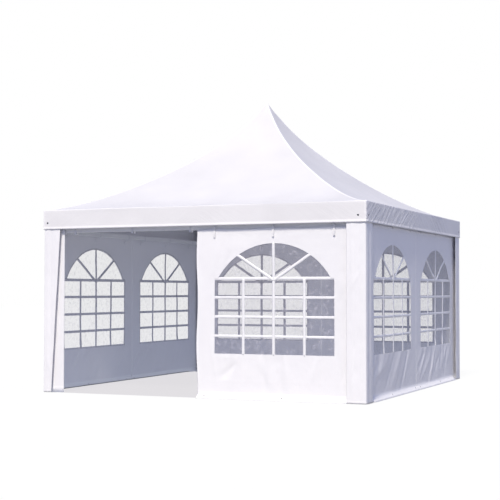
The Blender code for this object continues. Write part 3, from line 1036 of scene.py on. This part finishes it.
def strap_course(side):
    """The points of a strap in the plane across the rail, from outside the wall to inside it."""
    if side == "front":
        course = [(STRAP_OUT - STRAP_SLACK, STRAP_END_Z), (STRAP_OUT - 0.6 * STRAP_SLACK, STRAP_BEND_Z)]
        course += [(STRAP_OUT, STRAP_FLAT_Z), (STRAP_OUT, WALL_TOP + 0.006)]
    else:
        course = [(STRAP_OUT, WALL_TOP), (STRAP_OUT, WALL_TOP + TOP_LIFT + 0.004)]
    course += [(RAIL_OUT, RAIL_HIGH.z - 0.002), (RAIL_OUT, RAIL_OVER), (RAIL_IN, RAIL_OVER)]
    return course + [(RAIL_IN, RAIL_LOW.z - 0.01), (STRAP_IN, STRAP_TURN_Z), (STRAP_IN, STRAP_INNER_Z)]


def tie_course():
    """The points of a short tie left hanging on the rail over the doorway."""
    foot = RAIL_LOW.z - RAIL_GAP - TIE_TAIL
    course = [(RAIL_OUT - TIE_SPREAD, foot), (RAIL_OUT, RAIL_LOW.z), (RAIL_OUT, RAIL_OVER)]
    return course + [(RAIL_IN, RAIL_OVER), (RAIL_IN, foot)]


def along_side(side, places):
    """The places on all panels of a side, from the places on one."""
    hands = (1,) if side == "front" else (-1, 1)
    return [hand * place for hand in hands for place in places]


def add_ribbon(bm, middle, course):
    chain = [bm.verts.new((middle - STRAP_WIDTH / 2, y, z)) for y, z in course]
    edges = [bm.edges.new(pair) for pair in zip(chain, chain[1:])]
    sweep_edges(bm, edges, (STRAP_WIDTH, 0, 0))


def round_edges(piece, width):
    bevel = piece.modifiers.new("rounded", "BEVEL")
    bevel.width = width
    bevel.segments = 2
    return bevel


def wall_straps(side):
    bm = bmesh.new()
    for x in along_side(side, STRAP_PLACES):
        add_ribbon(bm, x, strap_course(side))
    for x in DOORWAY_TIES if side == "front" else ():
        add_ribbon(bm, x, tie_course())
    bmesh.ops.recalc_face_normals(bm, faces=bm.faces)
    piece = add_piece(side + "_wall_straps", bm, webbing, SIDES[side])
    thicken(piece, STRAP, 0.0)
    round_edges(piece, STRAP_EDGE)
    return piece


straps = {side: wall_straps(side) for side in SIDES}
print("strap faces:", [len(piece.data.polygons) for piece in straps.values()])

# %% Press studs
STUD_RADIUS, STUD_DEPTH, STUD_SIDES = 0.005, 0.0025, 12


def add_disc(bm, place, sides, depth, foot, top):
    """A closed disc from its foot's radius to its top's, along the local Z of the matrix called place."""
    radii = {"radius1": foot, "radius2": top}
    bmesh.ops.create_cone(bm, cap_ends=True, segments=sides, depth=depth, matrix=place, **radii)


def strap_studs(side):
    y, z = strap_course(side)[0]
    bm = bmesh.new()
    for x in along_side(side, STRAP_PLACES):
        place = Matrix.Translation((x, y - 0.0015, z + 0.01)) @ OUTWARD
        add_disc(bm, place, STUD_SIDES, STUD_DEPTH, STUD_RADIUS, STUD_RADIUS * 0.7)
    return add_piece(side + "_strap_studs", bm, steel, SIDES[side])


studs = [strap_studs(side) for side in SIDES]
print("studs:", sum(len(piece.data.polygons) for piece in studs) // (STUD_SIDES + 2))

# %% [markdown]
# ## Eyelets
# An eyelet is a rolled metal ring round a hole. A dark plug fills the hole as painted shade, for the dim
# space seen through it. The ring is a small circle spun round the hole's middle. It's repeated dozens of
# times, so it has few faces.

# %% A ring and its hole
TUBE_SIDES, RING_STEPS = 6, 14


def add_ring(bm, place, radius, tube):
    """A rolled ring whose axis is the local Z of the matrix called place."""
    before = set(bm.verts)
    circle = bmesh.ops.create_circle(bm, segments=TUBE_SIDES, radius=tube)["verts"]
    edges = list({edge for vert in circle for edge in vert.link_edges})
    bmesh.ops.rotate(bm, verts=circle, matrix=Matrix.Rotation(pi / 2, 3, "X"))
    bmesh.ops.translate(bm, verts=circle, vec=(radius, 0, 0))
    turn = {"cent": (0, 0, 0), "axis": (0, 0, 1), "angle": 2 * pi, "steps": RING_STEPS}
    bmesh.ops.spin(bm, geom=circle + edges, use_merge=True, **turn)
    made = [vert for vert in bm.verts if vert not in before]
    bmesh.ops.recalc_face_normals(bm, faces=list({face for vert in made for face in vert.link_faces}))
    bmesh.ops.transform(bm, verts=made, matrix=place)


def eyelet_pair(name, places, radius, tube, depth, degrees):
    """Two pieces: rings at a list of places, and in them dark plugs of painted hole shade, a little thicker
    than the cloth.
    """
    rings, holes = bmesh.new(), bmesh.new()
    inside = radius - tube * 0.5
    for place in places:
        add_ring(rings, place, radius, tube)
        add_disc(holes, place, RING_STEPS, depth, inside, inside)
    ring_piece = add_piece(name + "_eyelets", rings, eyelet_metal, degrees)
    hole_piece = add_piece(name + "_eyelet_holes", holes, painted_hole_shade, degrees)
    return [ring_piece, hole_piece]


# %% Eyelets of the walls and the valance
FLAP_RING, VALANCE_RING = (0.0062, 0.0017, 0.0052), (0.0095, 0.0028, 0.006)  # radius, tube, plug
FLAP_PLACES = (0.1, 1.03, 1.86)
FLAP_MIDDLE_Y, FLAP_MIDDLE_Z = -1.9765, 0.031
FLAP_TILT = Matrix.Rotation(radians(42), 4, "X")
FRONT_PLACES, VALANCE_PLACES = (-1.943, 1.908), (-1.93, 1.93)
VALANCE_EYELET_Z = 1.983


def wall_eyelets(side):
    spots = [(x, FLAP_MIDDLE_Y, FLAP_MIDDLE_Z) for x in along_side(side, FLAP_PLACES)]
    places = [Matrix.Translation(spot) @ FLAP_TILT for spot in spots]
    return eyelet_pair(side + "_wall", places, *FLAP_RING, SIDES[side])


def valance_eyelets(side):
    across = FRONT_PLACES if side == "front" else VALANCE_PLACES
    places = [Matrix.Translation((x, -HALF + 0.0006, VALANCE_EYELET_Z)) @ OUTWARD for x in across]
    return eyelet_pair(side + "_valance", places, *VALANCE_RING, SIDES[side])


eyelets = [wall_eyelets(side) for side in SIDES] + [valance_eyelets(side) for side in SIDES]
print("eyelets:", sum(len(rings.data.polygons) for rings, _ in eyelets) // (TUBE_SIDES * RING_STEPS))

# %% [markdown]
# ## The steel frame
# The beams, rails, posts, rafters and mast keep their solids. They come in as loose triangles, so each gets a
# Weld and a small Bevel as modifiers, which rounds its edges as rolled tube is, and the powder coat. Bolts
# hold the corner castings to the beams.

# %% Finish the frame
STEEL_EDGE, WELD_GAP = 0.003, 0.00005

steel_names = [side + part for side in SIDES for part in ("_eave_beam", "_wall_rail")]
steel_names += [corner + part for corner in CORNERS for part in ("_post", "_connector", "_rafter")]
steel_names.append("king_mast")
for name in steel_names:
    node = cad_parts[name]
    for material_slot in node.material_slots:
        material_slot.material = steel
    weld = node.modifiers.new("weld", "WELD")
    weld.merge_threshold = WELD_GAP
    rounded = round_edges(node, STEEL_EDGE)
    rounded.limit_method = "ANGLE"
    rounded.angle_limit = radians(40)
print("steel nodes:", len(steel_names))

# %% Bolts through the corner castings
BOLT_RADIUS, BOLT_HIGH, BOLT_SIDES = 0.0085, 0.006, 6
BOLT_PLACES = (0.03, 0.095)  # along each face of the casting


def corner_bolts(name, degrees):
    low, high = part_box("front_right_connector")
    middle = (low.z + high.z) / 2
    bm = bmesh.new()
    for along in BOLT_PLACES:
        for place, axis in (((low.x + along, high.y, middle), "X"), ((low.x, low.y + along, middle), "Y")):
            matrix = Matrix.Translation(place) @ Matrix.Rotation(-pi / 2, 4, axis)
            add_disc(bm, matrix, BOLT_SIDES, BOLT_HIGH, BOLT_RADIUS, BOLT_RADIUS * 0.92)
    piece = add_piece(name + "_bolts", bm, steel, degrees)
    piece.data.shade_flat()
    return piece


bolts = [corner_bolts(name, degrees) for name, degrees in CORNERS.items()]
print("bolt faces:", [len(piece.data.polygons) for piece in bolts])

# %% [markdown]
# ## Cloth areas
# The area of each panel's cloth and of each sleeve is worked out from its cut, with the flat size of
# each window's film and of each sleeve.

flap_length = sum(hypot(*step) for step in FLAP_STEPS)
for name, (side, hand) in PANELS.items():
    low, high = panel_ends(side, hand)
    width = high - low + (WALL_PLANE - RETURN_EDGE if name == "left_front" else 0)
    area = cut_areas[name] + (high - low) * flap_length + (width - high + low) * (WALL_TOP - FLAP_Z)
    flat = (2 * (WINDOW_HALF + FILM_LAP), ARCH_TOP - WINDOW_SILL + 2 * FILM_LAP)
for name in CORNERS:
    width = 2 * (COVER_HIGH.x - COVER_LOW.x)
    flat = (width, SLEEVE_TOP - COVER_LOW.z)
    area = min(sleeve_areas[name], flat[0] * flat[1])

# %% [markdown]
# ## Floor and light
# The floor and the sky are nearly white to the camera, as in a studio. A camera ray sees mostly the floor's
# own glow, so the shadows on it stay pale, and all other light sees a dim matt floor. The sun is high in
# front and only grazes the right side, which a dim bluish sky lights. The valance throws a soft shadow on the
# top of that wall, and the folds, bars and creases below it catch an edge of light. The ground under the roof
# has a darker glow and a darker matt tone, painted shade of the roof, and a flat light on it stands in for the
# light that the ground throws up at the inner walls.

# %% Floor
FLOOR_HALF = 60.0
FLOOR_GLOW = 0.85  # the glow's share of what the camera sees of the floor
# The ground under the roof has a darker glow and matt tone: painted shade of the roof.
GROUND_HALF = 2.004  # the shaded ground under the roof
GROUND_FRONT = -1.95


def floor_finish():
    material, place, default_shader = new_material("pale_floor", 1.0)
    place.tree.nodes.remove(default_shader)
    x, y, _ = place.parts()
    inside = (abs(x) < GROUND_HALF) * (y > GROUND_FRONT) * (y < GROUND_HALF)
    # cloudy is mostly the ground under the roof, with a little noise: its darker matt tone there is painted
    # shade.
    cloudy = inside * 0.9 + noise_at(place, 0.4, 2.0) * 0.1
    matt_tone = cloudy.blend((0.34, 0.34, 0.34), (0.14, 0.14, 0.14))
    matt = place.add("ShaderNodeBsdfDiffuse", None, {"Color": matt_tone})
    # The glow is darker under the roof: painted shade of the roof on the ground.
    glow_with_painted_shade = inside.blend((1.11, 1.11, 1.11), (0.87, 0.85, 0.88))
    glow = place.add("ShaderNodeEmission", None, {"Color": glow_with_painted_shade})
    to_camera = place.add("ShaderNodeLightPath") * FLOOR_GLOW
    total = place.add("ShaderNodeMixShader", None, {0: to_camera, 1: matt, 2: glow})
    place.tree.links.new(total.socket, place.tree.nodes["Material Output"].inputs["Surface"])
    return material


bm = bmesh.new()
bmesh.ops.create_grid(bm, x_segments=1, y_segments=1, size=FLOOR_HALF)
floor = add_mesh("floor", bm, floor_finish())
print("floor across:", 2 * FLOOR_HALF)

# %% Sky
SKY_BLUE, SKY_STRENGTH = (0.58, 0.652, 1, 1), 0.584

world = bpy.data.worlds.new("studio")
bpy.context.scene.world = world
world.use_nodes = True
sky = Wire(world.node_tree)
world.node_tree.nodes.clear()
shade = sky.add("ShaderNodeBackground", None, {"Color": SKY_BLUE, "Strength": SKY_STRENGTH})
white = sky.add("ShaderNodeBackground", None, {"Color": (1, 1, 1, 1), "Strength": 1.0})
seen = sky.add("ShaderNodeLightPath")
both = sky.add("ShaderNodeMixShader", None, {0: seen, 1: shade, 2: white})
sky.add("ShaderNodeOutputWorld", None, {"Surface": both})
print("sky light:", SKY_STRENGTH)

# %% Sun and ground light
SUN_FROM = Vector((0.07, -0.607, 0.793))
GROUND_LIGHT_SIZE = 3.98

sun = add_object("sun", bpy.data.lights.new("sun", "SUN"))
sun.data.energy = 3.48
sun.data.color = (1.0, 0.935, 0.812)
sun.data.angle = 0.16
sun.rotation_euler = SUN_FROM.to_track_quat("Z", "Y").to_euler()

ground_light = add_object("ground_light", bpy.data.lights.new("ground_light", "AREA"))
ground_light.data.size = GROUND_LIGHT_SIZE
ground_light.data.energy = 21.5
ground_light.data.color = (0.76, 0.82, 1.0)
ground_light.location = (0, 0, 0.003)
ground_light.rotation_euler = (pi, 0, 0)
ground_light.visible_camera = False
bpy.context.scene.view_settings.view_transform = "Standard"
print("sun:", sun.data.energy, "ground light:", ground_light.data.energy)
